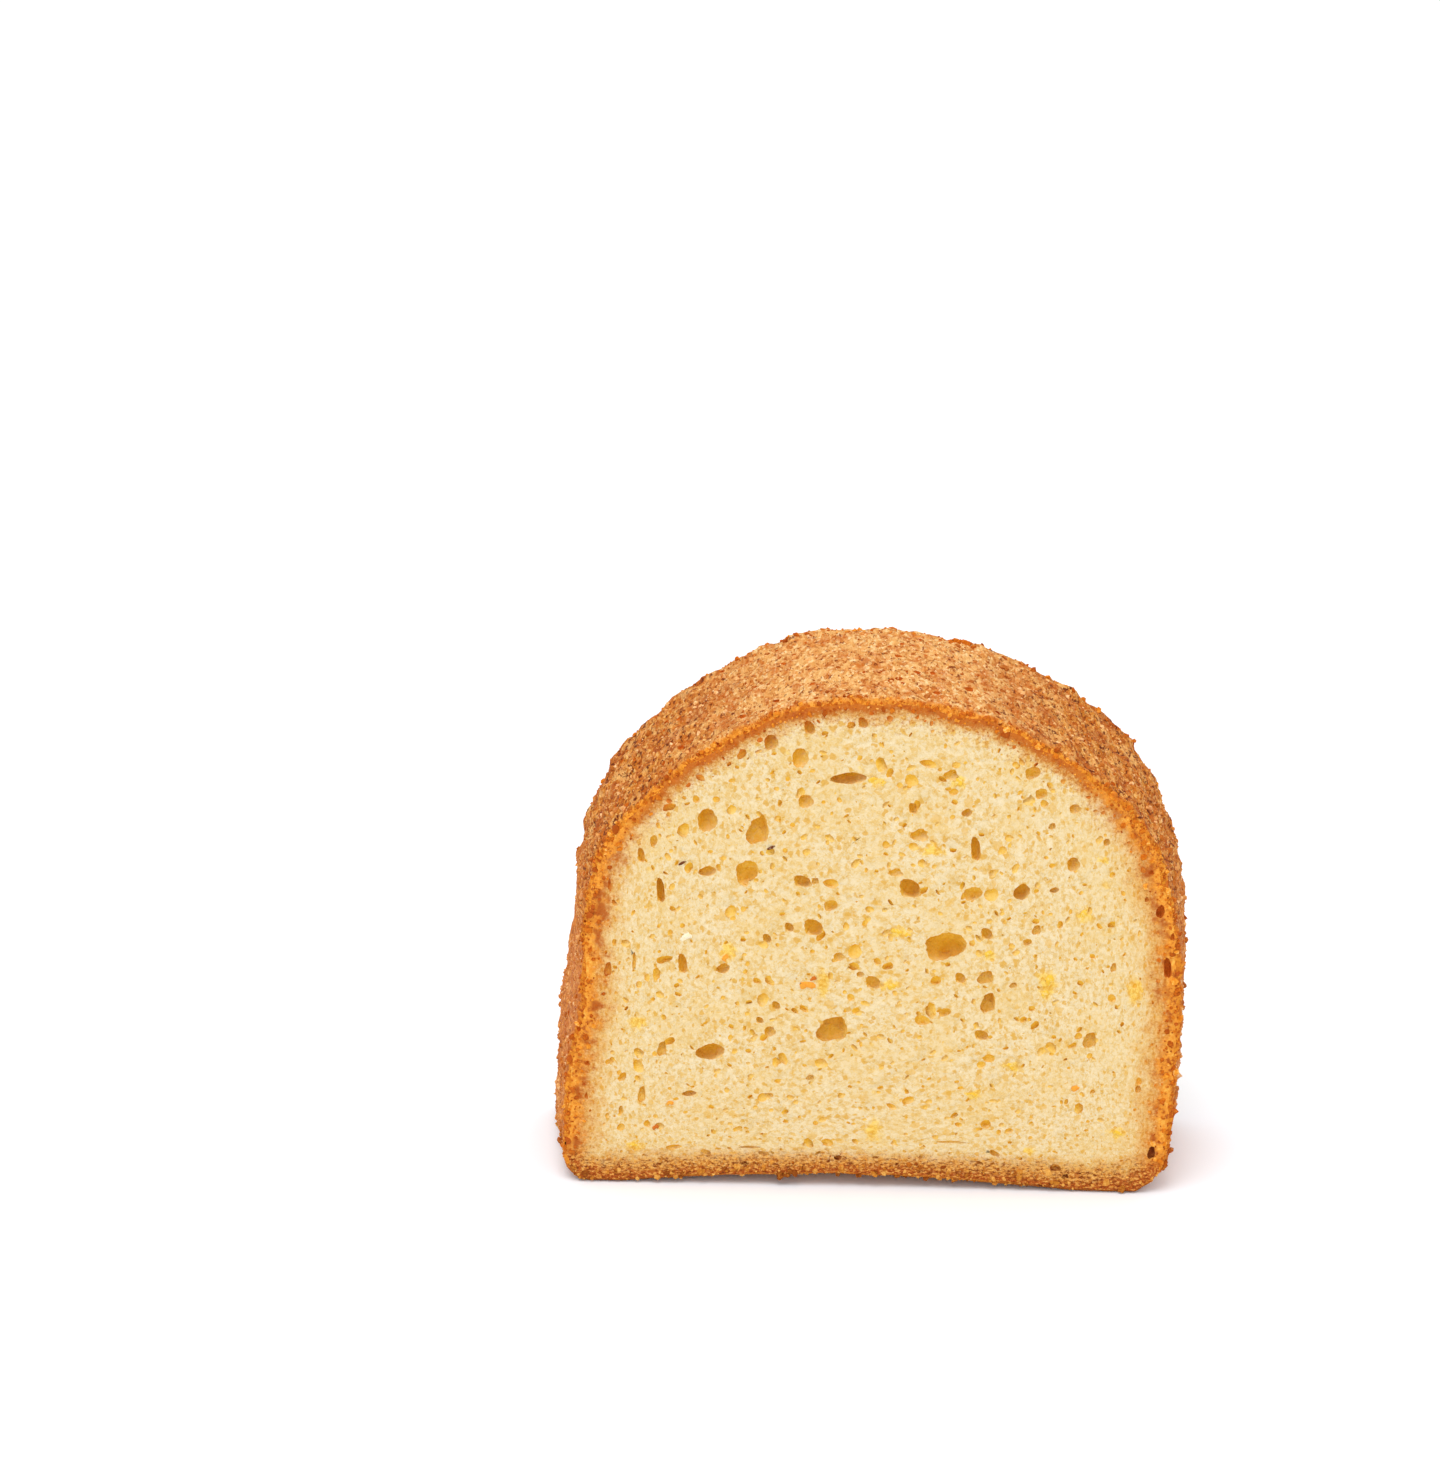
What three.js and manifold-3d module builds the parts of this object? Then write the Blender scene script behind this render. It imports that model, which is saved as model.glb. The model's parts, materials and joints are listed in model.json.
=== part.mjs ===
// A slice of pale loaf cake, cut across the loaf and standing on its baked base.
// Millimetres, +Z up. X runs across the loaf, the front cut looks along -Y, and the
// origin is under the middle of the slice. The whole slice is one solid: crust and
// crumb are the same piece of cake, and the holes are air bubbles that the knife opened.
import * as THREE from "three";
import { ImprovedNoise } from "three/addons/math/ImprovedNoise.js";
import { mergeVertices } from "three/addons/utils/BufferGeometryUtils.js";
import Module from "manifold-3d";

// ---- Driving dimensions ----------------------------------------------------------

// Outline of each cut as [x, z], from the left toe up over the dome to the right toe.
// A smooth curve runs through the points. The two lists match point for point, and the
// crust is stretched between them.
const FRONT_OUTLINE = [
  [-47.0, 0.0], // left toe
  [-49.4, 2.8],
  [-49.8, 7.5],
  [-49.2, 17.0],
  [-47.5, 28.0],
  [-46.4, 40.0], // where the tin's wall ended
  [-46.0, 50.5],
  [-42.6, 61.0], // left shoulder
  [-35.2, 70.0],
  [-24.8, 78.2],
  [-13.0, 84.1],
  [-1.0, 86.1], // top of the dome
  [11.5, 85.0],
  [23.0, 80.9],
  [33.5, 74.4],
  [42.2, 65.9], // right shoulder
  [47.3, 55.4],
  [49.7, 43.0],
  [49.6, 30.0],
  [49.6, 20.0],
  [49.0, 9.5],
  [47.6, 3.6],
  [43.6, 0.0], // right toe
];
const BACK_OUTLINE = [
  [-51.4, 0.0],
  [-52.9, 2.8],
  [-52.7, 8.0],
  [-52.2, 18.0],
  [-50.9, 30.0],
  [-49.0, 40.0],
  [-48.3, 50.0],
  [-44.4, 60.8],
  [-37.4, 70.2],
  [-26.0, 79.0],
  [-14.0, 84.9],
  [-1.0, 87.0],
  [11.5, 85.3],
  [23.5, 81.3],
  [34.0, 75.0],
  [42.9, 66.0],
  [48.1, 56.0],
  [50.6, 43.0],
  [51.4, 32.0],
  [51.3, 20.0],
  [50.6, 9.5],
  [49.4, 3.6],
  [46.4, 0.0],
];

const BASE_THICKNESS = 26.9; // front cut to back cut, at the base
const BACK_LEAN = 0.035; // the back cut leans away by this much for each mm of height
const MIDDLE_HEIGHT = 40; // where the fans that close the two cuts meet

// The baked base is hollow between two flat feet.
const LEFT_FOOT_END = -41.0;
const RIGHT_FOOT_START = 34.0;
const BASE_HOLLOW = 2.1;

// Crust relief, as height above or below the smooth surface.
const BROAD_RELIEF = { size: 11, height: 0.5 };
const FINE_RELIEF = { size: 4.2, height: 0.35 };
const FOOT_FADE = { from: 0.2, to: 4 }; // the flat feet have none, and it grows with height
const RIM_WEAR = 0.6; // the edge between crust and cut is rubbed away by this much
const RIM_UNEVEN = { size: 3, share: 0.8, drift: 7 };

// Ledges on the right shoulder, from first to last mm round the crust from the top. Each
// climbs over the rising share of its pitch and then drops.
const CRAG_LEDGE = { first: 34, last: 62, pitch: 7.5, height: 0.9, rising: 0.8 };
const CRAG_WANDER = { reach: 3, across: 9, along: 14 };
const CRAG_PATCH = 6;

// Air holes that the front cut opened, each as [x, z, width, height] on the cut.
const FRONT_HOLES = [
  [11.5, 43.5, 5.9, 4.8],
  [-6.0, 28.5, 5.1, 4.2],
  [-3.5, 72.5, 5.4, 2.2],
  [-25.5, 24.0, 4.2, 3.1],
  [-18.0, 63.5, 3.6, 4.5],
  [-26.0, 65.0, 3.0, 4.2],
  [-20.0, 56.0, 3.0, 3.8],
  [6.0, 53.5, 3.9, 3.1],
  [-9.0, 46.5, 3.5, 2.8],
  [-16.0, 78.5, 2.3, 2.8],
  [16.0, 53.0, 2.6, 2.3],
  [7.5, 63.0, 2.6, 2.4],
  [0.5, 37.0, 2.6, 2.1],
  [18.5, 38.5, 2.6, 2.1],
  [19.0, 34.0, 2.4, 3.5],
  [24.0, 53.5, 2.3, 3.0],
  [32.0, 58.5, 2.0, 2.5],
  [25.0, 74.0, 2.1, 1.8],
  [12.5, 73.5, 2.3, 1.8],
  [-33.5, 52.5, 1.6, 4.1],
  [-30.0, 39.5, 1.8, 3.2],
  [-10.5, 68.5, 2.3, 2.1],
  [-33.5, 24.5, 1.6, 2.5],
  [35.5, 27.5, 2.0, 2.5],
  [-26.0, 56.0, 2.4, 1.8],
  [16.5, 60.5, 1.8, 3.7],
  [-11.0, 54.5, 3.2, 1.9],
  [-11.5, 76.0, 2.3, 2.9],
  [-10.0, 81.0, 1.9, 2.2],
  [18.0, 28.0, 2.4, 1.6],
  [-29.0, 16.5, 2.3, 1.3],
  [18.5, 46.0, 2.1, 1.9],
  [14.5, 38.0, 2.1, 1.6],
  [4.0, 56.5, 2.1, 1.4],
  [-23.5, 39.0, 1.8, 2.1],
  [-5.0, 41.5, 1.9, 1.6],
  [-6.5, 50.5, 1.9, 1.8],
  [12.0, 32.0, 1.9, 1.4],
  [-16.0, 28.0, 1.8, 1.8],
  [26.5, 70.5, 1.7, 1.7],
  [32.0, 68.0, 1.7, 1.6],
  [-1.5, 82.0, 1.7, 1.5],
  [6.5, 67.5, 1.6, 1.6],
  [15.0, 67.0, 1.5, 1.5],
  [-13.0, 46.5, 1.6, 1.5],
  [-16.5, 44.5, 1.5, 1.6],
  [-15.0, 32.5, 1.6, 1.4],
  [26.5, 47.0, 1.6, 1.5],
  [-36.5, 58.5, 1.3, 2.1],
  [47.4, 40.5, 1.5, 3.6],
  [46.0, 50.5, 1.4, 2.3],
  [46.0, 7.5, 1.4, 2.2],
];

// The back cut's holes are drawn by rule.
const HOLES_BACK = 46;
const SMALL_HOLE = { min: 1.3, max: 2.3 };
const LARGE_HOLE = { min: 2.2, max: 5.2 };
const LARGE_SHARE = 0.3; // of the back cut's holes
const HOLE_SHAPE = { min: 0.65, max: 1.25 }; // height as a share of width
const HOLE_MARGIN = 5.0; // the drawn holes keep this far inside the outline
const HOLE_GAP = 1.2; // and this far from each other
const HOLE_DEPTH = 0.62; // of the mean width
const HOLE_SINK = 0.18; // of its depth, how far a bubble's middle lies under the cut
const BUBBLE_WOBBLE = { height: 0.32, pitch: 1.4 }; // lumps in a bubble of radius 1
const BUBBLE_FACETS = { least: 7, most: 12, base: 5, perMillimetre: 1.3 };
const NOISE_SPAN = 50; // how far apart two bubbles' lumps are drawn

// The front edge of the right foot has crumbled away.
const BROKEN_CORNER = { x: 47.8, z: 2.2, width: 3.0, height: 3.6 };

const UPPER_STEPS = 120; // round the sides and dome
const BASE_STEPS = 34;
const DEPTH_STEPS = 11;
const OUTLINE_CHECKS = 90; // points on the outline that a drawn hole is held against
const SEED = 20;

const CRUST_COLOUR = 0xc9843f;

// ---- Helpers ----------------------------------------------------------------------

const noise = new ImprovedNoise();

function makeRandom(seed) {
  let state = seed;
  return () => {
    state = (state + 0x6d2b79f5) | 0;
    let mixed = Math.imul(state ^ (state >>> 15), 1 | state);
    mixed ^= mixed + Math.imul(mixed ^ (mixed >>> 7), 61 | mixed);
    return ((mixed ^ (mixed >>> 14)) >>> 0) / 4294967296;
  };
}

function ripple(point, { size, height }) {
  return height * noise.noise(point.x / size, point.y / size, point.z / size);
}

function makeCurve(outline) {
  const points = outline.map(([x, z]) => new THREE.Vector3(x, 0, z));
  return new THREE.CatmullRomCurve3(points, false, "centripetal");
}

// ---- The slice without its holes ----------------------------------------------------

// Height of the baked base over the plate at a given x.
function baseHeight(x) {
  const along = (x - LEFT_FOOT_END) / (RIGHT_FOOT_START - LEFT_FOOT_END);
  const inside = THREE.MathUtils.clamp(along, 0, 1);
  return BASE_HOLLOW * Math.sin(Math.PI * inside);
}

// Pairs of matching points, front and back, once round the slice: up the left side,
// over the dome, down the right side and home along the base.
function makeSections() {
  const frontCurve = makeCurve(FRONT_OUTLINE);
  const backCurve = makeCurve(BACK_OUTLINE);
  const sections = [];
  for (let step = 0; step <= UPPER_STEPS; step += 1) {
    const along = frontCurve.getUtoTmapping(step / UPPER_STEPS);
    sections.push([frontCurve.getPoint(along), backCurve.getPoint(along)]);
  }
  const [leftToe] = sections;
  const rightToe = sections[UPPER_STEPS];
  for (let step = 1; step < BASE_STEPS; step += 1) {
    const pair = rightToe.map((toe, side) => {
      const point = toe.clone().lerp(leftToe[side], step / BASE_STEPS);
      point.z = baseHeight(point.x);
      return point;
    });
    sections.push(pair);
  }
  return sections;
}

// Distance of each section from the top of the dome, measured round the crust.
function distancesFromTop(sections) {
  const upper = sections.slice(0, UPPER_STEPS + 1).map(([front]) => front);
  const run = [0];
  for (let step = 1; step < upper.length; step += 1) {
    run.push(run[step - 1] + upper[step].distanceTo(upper[step - 1]));
  }
  const top = upper.reduce((best, point, step) => (point.z > upper[best].z ? step : best), 0);
  return sections.map((_, step) => (step <= UPPER_STEPS ? run[step] - run[top] : null));
}

// Overlapping ledges where the batter tore as it rose past the right shoulder.
function cragHeight(fromTop, point) {
  const { first, last, pitch, height, rising } = CRAG_LEDGE;
  if (fromTop === null || fromTop < first || fromTop > last) {
    return 0;
  }
  const { reach, across, along } = CRAG_WANDER;
  const wander = reach * noise.noise(point.y / across, fromTop / along, 0.5);
  const phase = (fromTop - first + wander) / pitch;
  const saw = phase - Math.floor(phase);
  const climb = saw < rising ? saw : ((1 - saw) * rising) / (1 - rising);
  const fade = Math.sin((Math.PI * (fromTop - first)) / (last - first));
  const strength = 0.5 + noise.noise(point.x / CRAG_PATCH, point.y / CRAG_PATCH, 0.5);
  return height * fade * strength * climb;
}

// How far the crust stands out at a point.
function crustRelief(point, fromTop) {
  const offFeet = THREE.MathUtils.smoothstep(point.z, FOOT_FADE.from, FOOT_FADE.to);
  const relief = ripple(point, BROAD_RELIEF) + ripple(point, FINE_RELIEF);
  return offFeet * (relief + cragHeight(fromTop, point));
}

function backPlane(z) {
  return BASE_THICKNESS + BACK_LEAN * z;
}

// One ring of crust points at a share of the way from the front cut to the back cut.
// inset pulls the ring in towards the middle, for the rubbed edges.
function makeRing(sections, fromTop, share, inset) {
  const flat = sections.map(([front, back]) => front.clone().lerp(back, share));
  return flat.map((start, step) => {
    const before = flat[(step + flat.length - 1) % flat.length];
    const after = flat[(step + 1) % flat.length];
    const outward = new THREE.Vector3(before.z - after.z, 0, after.x - before.x).normalize();
    const point = new THREE.Vector3(start.x, backPlane(start.z) * share, start.z);
    const { size, share: uneven, drift } = RIM_UNEVEN;
    const chip = noise.noise(point.x / size, share * drift, point.z / size);
    const move = crustRelief(point, fromTop[step]) - inset * (1 + uneven * chip);
    point.addScaledVector(outward, move);
    point.z = Math.max(point.z, 0);
    point.y = backPlane(point.z) * share;
    return point;
  });
}

function makeRings() {
  const sections = makeSections();
  const fromTop = distancesFromTop(sections);
  const edge = RIM_WEAR / BASE_THICKNESS;
  const shares = [edge];
  for (let step = 1; step < DEPTH_STEPS; step += 1) {
    shares.push(step / DEPTH_STEPS);
  }
  shares.push(1 - edge);
  return [
    makeRing(sections, fromTop, 0, RIM_WEAR),
    ...shares.map((share) => makeRing(sections, fromTop, share, 0)),
    makeRing(sections, fromTop, 1, RIM_WEAR),
  ];
}

// A fan of triangles closes each cut from a point in its middle.
function addFan(faces, first, count, middle, onBack) {
  for (let step = 0; step < count; step += 1) {
    const here = first + step;
    const next = first + ((step + 1) % count);
    faces.push(middle, ...(onBack ? [here, next] : [next, here]));
  }
}

function makeBlank() {
  const rings = makeRings();
  const count = rings[0].length;
  const points = rings.flat();
  const faces = [];
  for (let ring = 0; ring < rings.length - 1; ring += 1) {
    for (let step = 0; step < count; step += 1) {
      const here = ring * count + step;
      const next = ring * count + ((step + 1) % count);
      faces.push(here, next, here + count);
      faces.push(next, next + count, here + count);
    }
  }
  points.push(new THREE.Vector3(0, 0, MIDDLE_HEIGHT));
  points.push(new THREE.Vector3(0, backPlane(MIDDLE_HEIGHT), MIDDLE_HEIGHT));
  addFan(faces, 0, count, points.length - 2, false);
  addFan(faces, (rings.length - 1) * count, count, points.length - 1, true);
  const geometry = new THREE.BufferGeometry().setFromPoints(points);
  geometry.setIndex(faces);
  return geometry;
}

// ---- Air holes ----------------------------------------------------------------------

// A lumpy bubble, wide along X, high along Z and centred on the origin. Its poles lie
// along Y, so that the cut crosses it in a clean ring.
function makeBubble(width, height, random) {
  const { least, most, base, perMillimetre } = BUBBLE_FACETS;
  const wanted = base + perMillimetre * Math.sqrt(width * height);
  const facets = Math.round(THREE.MathUtils.clamp(wanted, least, most));
  const geometry = new THREE.SphereGeometry(1, facets, Math.round(facets / 2));
  const depth = HOLE_DEPTH * ((width + height) / 2);
  const corner = new THREE.Vector3();
  const shift = random() * NOISE_SPAN;
  const { height: wobble, pitch } = BUBBLE_WOBBLE;
  const places = geometry.attributes.position;
  for (let index = 0; index < places.count; index += 1) {
    corner.fromBufferAttribute(places, index);
    const lump = noise.noise(corner.x * pitch + shift, corner.y * pitch, corner.z * pitch);
    corner.multiplyScalar(1 + wobble * lump);
    places.setXYZ(index, (corner.x * width) / 2, corner.y * depth, (corner.z * height) / 2);
  }
  return geometry;
}

function placeBubble([x, z, width, height], onBack, random) {
  const bubble = makeBubble(width, height, random);
  const sink = HOLE_SINK * HOLE_DEPTH * ((width + height) / 2);
  const y = onBack ? backPlane(z) - sink : sink;
  bubble.translate(x, y, z);
  return bubble;
}

// Whether a closed line of points runs round the place x, z.
function surrounds(contour, x, z) {
  const crossings = contour.filter((point, index) => {
    const before = contour.at(index - 1);
    const share = (z - before.z) / (point.z - before.z);
    return point.z > z !== before.z > z && x < before.x + share * (point.x - before.x);
  });
  return crossings.length % 2 === 1;
}

// Draws holes inside the outline, clear of its edge and of each other.
function drawHoles(count, random) {
  const contour = makeCurve(FRONT_OUTLINE).getPoints(OUTLINE_CHECKS);
  const box = new THREE.Box3().setFromPoints(contour);
  const holes = [];
  while (holes.length < count) {
    const size = random() < LARGE_SHARE ? LARGE_HOLE : SMALL_HOLE;
    const width = THREE.MathUtils.lerp(size.min, size.max, random() ** 2);
    const height = width * THREE.MathUtils.lerp(HOLE_SHAPE.min, HOLE_SHAPE.max, random());
    const x = THREE.MathUtils.lerp(box.min.x, box.max.x, random());
    const z = THREE.MathUtils.lerp(HOLE_MARGIN, box.max.z, random());
    const inside = contour.every((point) => Math.hypot(point.x - x, point.z - z) > HOLE_MARGIN);
    const clear = holes.every(([otherX, otherZ, otherWidth, otherHeight]) => {
      const reach = (Math.max(width, height) + Math.max(otherWidth, otherHeight)) / 2;
      return Math.hypot(otherX - x, otherZ - z) > reach + HOLE_GAP;
    });
    if (surrounds(contour, x, z) && inside && clear) {
      holes.push([x, z, width, height]);
    }
  }
  return holes;
}

function makeBrokenCorner(random) {
  const { x, z, width, height } = BROKEN_CORNER;
  const lump = makeBubble(width, height, random);
  lump.translate(x, 0, z);
  return lump;
}

function makeCutters() {
  const random = makeRandom(SEED);
  return [
    ...FRONT_HOLES.map((hole) => placeBubble(hole, false, random)),
    ...drawHoles(HOLES_BACK, random).map((hole) => placeBubble(hole, true, random)),
    makeBrokenCorner(random),
  ];
}

// ---- Cutting, and back to a mesh ------------------------------------------------------

const wasm = await Module();
wasm.setup();

function toSolid(geometry) {
  const bare = geometry.clone();
  bare.deleteAttribute("normal");
  bare.deleteAttribute("uv");
  const merged = mergeVertices(bare, 1e-4);
  return new wasm.Manifold(
    new wasm.Mesh({
      numProp: 3,
      vertProperties: new Float32Array(merged.attributes.position.array),
      triVerts: new Uint32Array(merged.index.array),
    }),
  );
}

function toGeometry(solid) {
  const { vertProperties, triVerts } = solid.getMesh();
  const geometry = new THREE.BufferGeometry();
  geometry.setAttribute("position", new THREE.BufferAttribute(vertProperties, 3));
  geometry.setIndex(new THREE.BufferAttribute(triVerts, 1));
  return geometry;
}

// Moves the origin under the middle of the slice.
function centre(geometry) {
  geometry.computeBoundingBox();
  const middle = geometry.boundingBox.getCenter(new THREE.Vector3());
  geometry.translate(-middle.x, -middle.y, -geometry.boundingBox.min.z);
  geometry.computeVertexNormals();
  return geometry;
}

function makeCakeSlice() {
  const blank = toSolid(makeBlank());
  const cutters = makeCutters().map(toSolid);
  const slice = cutters.reduce((solid, cutter) => solid.subtract(cutter), blank);
  const cake = new THREE.MeshStandardMaterial({
    color: CRUST_COLOUR,
    roughness: 0.85,
    metalness: 0,
  });
  const mesh = new THREE.Mesh(centre(toGeometry(slice)), cake);
  mesh.name = "cake_slice";
  return mesh;
}

const cake = new THREE.Group();
cake.add(makeCakeSlice());

export default cake;
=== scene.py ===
# %% [markdown]
# # A slice of pale loaf cake
# A tin-baked loaf was cut across with a long knife. The slice stands on its baked base, so we look
# at an airy cut face with a browned crust round it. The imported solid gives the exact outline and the
# large air holes. This lesson dresses it: finer crust, some two thousand smaller bubbles, bits of
# candied peel, crumbs and the colours of baking.

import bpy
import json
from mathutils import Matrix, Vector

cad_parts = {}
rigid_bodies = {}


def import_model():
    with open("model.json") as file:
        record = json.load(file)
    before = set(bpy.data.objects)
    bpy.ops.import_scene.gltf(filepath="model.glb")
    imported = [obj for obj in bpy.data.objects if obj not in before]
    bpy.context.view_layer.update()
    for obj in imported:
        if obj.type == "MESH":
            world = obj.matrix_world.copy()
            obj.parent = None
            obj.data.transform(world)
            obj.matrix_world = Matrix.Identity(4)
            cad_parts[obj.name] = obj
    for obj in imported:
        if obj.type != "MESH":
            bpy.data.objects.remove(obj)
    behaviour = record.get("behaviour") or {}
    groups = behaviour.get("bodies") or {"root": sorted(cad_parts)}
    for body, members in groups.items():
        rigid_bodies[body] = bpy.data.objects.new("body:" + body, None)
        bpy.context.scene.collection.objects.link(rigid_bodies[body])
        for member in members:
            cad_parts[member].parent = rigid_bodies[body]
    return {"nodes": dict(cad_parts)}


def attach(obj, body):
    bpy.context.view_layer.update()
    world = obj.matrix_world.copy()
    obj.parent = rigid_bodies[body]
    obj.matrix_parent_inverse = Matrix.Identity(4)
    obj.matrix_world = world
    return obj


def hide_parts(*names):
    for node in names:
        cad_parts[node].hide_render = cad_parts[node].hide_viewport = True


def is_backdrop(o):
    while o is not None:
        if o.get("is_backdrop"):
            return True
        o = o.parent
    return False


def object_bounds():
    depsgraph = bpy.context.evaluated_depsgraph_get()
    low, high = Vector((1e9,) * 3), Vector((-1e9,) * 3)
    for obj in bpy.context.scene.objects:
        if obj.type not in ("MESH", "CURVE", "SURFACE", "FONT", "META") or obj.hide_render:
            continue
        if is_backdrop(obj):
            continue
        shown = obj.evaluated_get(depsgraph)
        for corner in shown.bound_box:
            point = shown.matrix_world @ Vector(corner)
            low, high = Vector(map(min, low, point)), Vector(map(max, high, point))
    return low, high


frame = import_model()
cad_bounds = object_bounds()
print("the solid spans", [round(1000 * v, 1) for v in cad_bounds[1] - cad_bounds[0]], "mm")

# %% Tools for the whole lesson
import json
import math
import random

import bmesh
import bpy
from mathutils import Matrix, Vector, noise
from mathutils.bvhtree import BVHTree
from mathutils.geometry import delaunay_2d_cdt

MM = 0.001
FRONT_Y = -14.958  # the front cut, in mm; the back cut leans
BACK_Y, BACK_LEAN = 11.942, 0.035
SHOULDERS, SIDES = (12.0, 36.0), (30.0, 44.0)  # mm from the middle: where each begins and is full
scene = bpy.context.scene


def show(name, mesh):
    """Puts a mesh into the scene as an object at the origin."""
    made = bpy.data.objects.new(name, mesh)
    scene.collection.objects.link(made)
    return made


def colour(code):
    """Turns a web colour into the linear light values that Blender works with."""
    parts = [int(code[i : i + 2], 16) / 255 for i in (1, 3, 5)]
    return (*(v / 12.92 if v <= 0.04045 else ((v + 0.055) / 1.055) ** 2.4 for v in parts), 1)


class Wires:
    """Writes a node tree line by line, for geometry and for materials alike."""

    def __init__(self, tree):
        self.tree = tree

    def node(self, kind, inputs=None, **settings):
        made = self.tree.nodes.new(kind)
        for key, value in settings.items():
            setattr(made, key, value)
        for key, value in (inputs or {}).items():
            for one in value if isinstance(value, list) else [value]:
                if isinstance(one, bpy.types.NodeSocket):
                    self.tree.links.new(one, made.inputs[key])
                else:
                    made.inputs[key].default_value = one
        return made

    def math(self, operation, *values):
        return self.node("ShaderNodeMath", dict(enumerate(values)), operation=operation).outputs[0]

    def times(self, product, *others):
        for other in others:
            product = self.math("MULTIPLY", product, other)
        return product

    def vector(self, operation, *values):
        made = self.node("ShaderNodeVectorMath", dict(enumerate(values)), operation=operation)
        return made.outputs["Value" if operation in ("LENGTH", "DOT_PRODUCT") else "Vector"]

    def split(self, vector):
        """The x, y and z of a vector."""
        return self.node("ShaderNodeSeparateXYZ", {0: vector}).outputs

    def join(self, *parts):
        """A vector of x, y and z."""
        return self.node("ShaderNodeCombineXYZ", dict(enumerate(parts))).outputs[0]

    def between(self, value, low, high, start=0.0, end=1.0, smooth=False):
        """Maps low..high onto start..end and holds the ends."""
        made = self.node("ShaderNodeMapRange", {0: value, 1: low, 2: high, 3: start, 4: end})
        made.interpolation_type = "SMOOTHSTEP" if smooth else "LINEAR"
        return made.outputs[0]

    def group(self, tree, inputs):
        return self.node("GeometryNodeGroup", inputs, node_tree=tree).outputs[0]


def geometry_tree(name, inputs):
    """A geometry node tree with named inputs, as (wires, its input sockets, its result socket)."""
    tree = bpy.data.node_groups.new(name, "GeometryNodeTree")
    for label, kind, value in inputs:
        socket = tree.interface.new_socket(label, in_out="INPUT", socket_type="NodeSocket" + kind)
        if value is not None:
            socket.default_value = value
    tree.interface.new_socket("Geometry", in_out="OUTPUT", socket_type="NodeSocketGeometry")
    given = tree.nodes.new("NodeGroupInput").outputs
    result = tree.nodes.new("NodeGroupOutput").inputs[0]
    return Wires(tree), given, result


def run_tree(piece, tree, values):
    """Runs a tree on a piece and gives back the plain mesh that it makes."""
    modifier = piece.modifiers.new("tree", "NODES")
    modifier.node_group = tree
    for item in tree.interface.items_tree:
        if item.in_out == "INPUT" and item.name in values:
            modifier[item.identifier] = values[item.name]
    made = bpy.data.meshes.new_from_object(
        piece.evaluated_get(bpy.context.evaluated_depsgraph_get())
    )
    piece.modifiers.remove(modifier)
    # Slots without a material are taken out.
    for slot in reversed(range(len(made.materials))):
        if made.materials[slot] is None:
            made.materials.pop(index=slot)
    return made


def point_cloud(name, places, **values):
    """An object of loose points that carry values: one number or three for each point."""
    mesh = bpy.data.meshes.new(name)
    mesh.from_pydata(places, [], [])
    for key, numbers in values.items():
        wide = len(numbers) > len(places)
        made = mesh.attributes.new(key, "FLOAT_VECTOR" if wide else "FLOAT", "POINT")
        made.data.foreach_set("vector" if wide else "value", numbers)
    return show(name, mesh)


# %% [markdown]
# ## Camera
# The photo looks down by a little over 22 degrees with a long lens, and the slice stands turned by
# under three degrees. The lens is given for the longer side of the picture.

# %% Camera
camera = bpy.data.objects.new("camera", bpy.data.cameras.new("camera"))
scene.collection.objects.link(camera)
camera.location = Vector((10.65, -739.56, 382.3)) * MM
camera.rotation_euler = (math.radians(67.40), 0, math.radians(2.69))
camera.data.lens = 123.2
camera.data.sensor_width = 36
camera.data.clip_start = 0.01
scene.camera = camera
print("camera", round(camera.location.length, 2), "m from the middle of the base")

# %% [markdown]
# ## Materials
# We mix the finishes first, because the trees further on put them on what they make. Every pattern
# starts from the place on the object in millimetres, so a spot of 1 mm is 1 mm. Three things help:
# noise, cells (for grains), and spots, which are cells filled by a round dot of random width.


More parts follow.
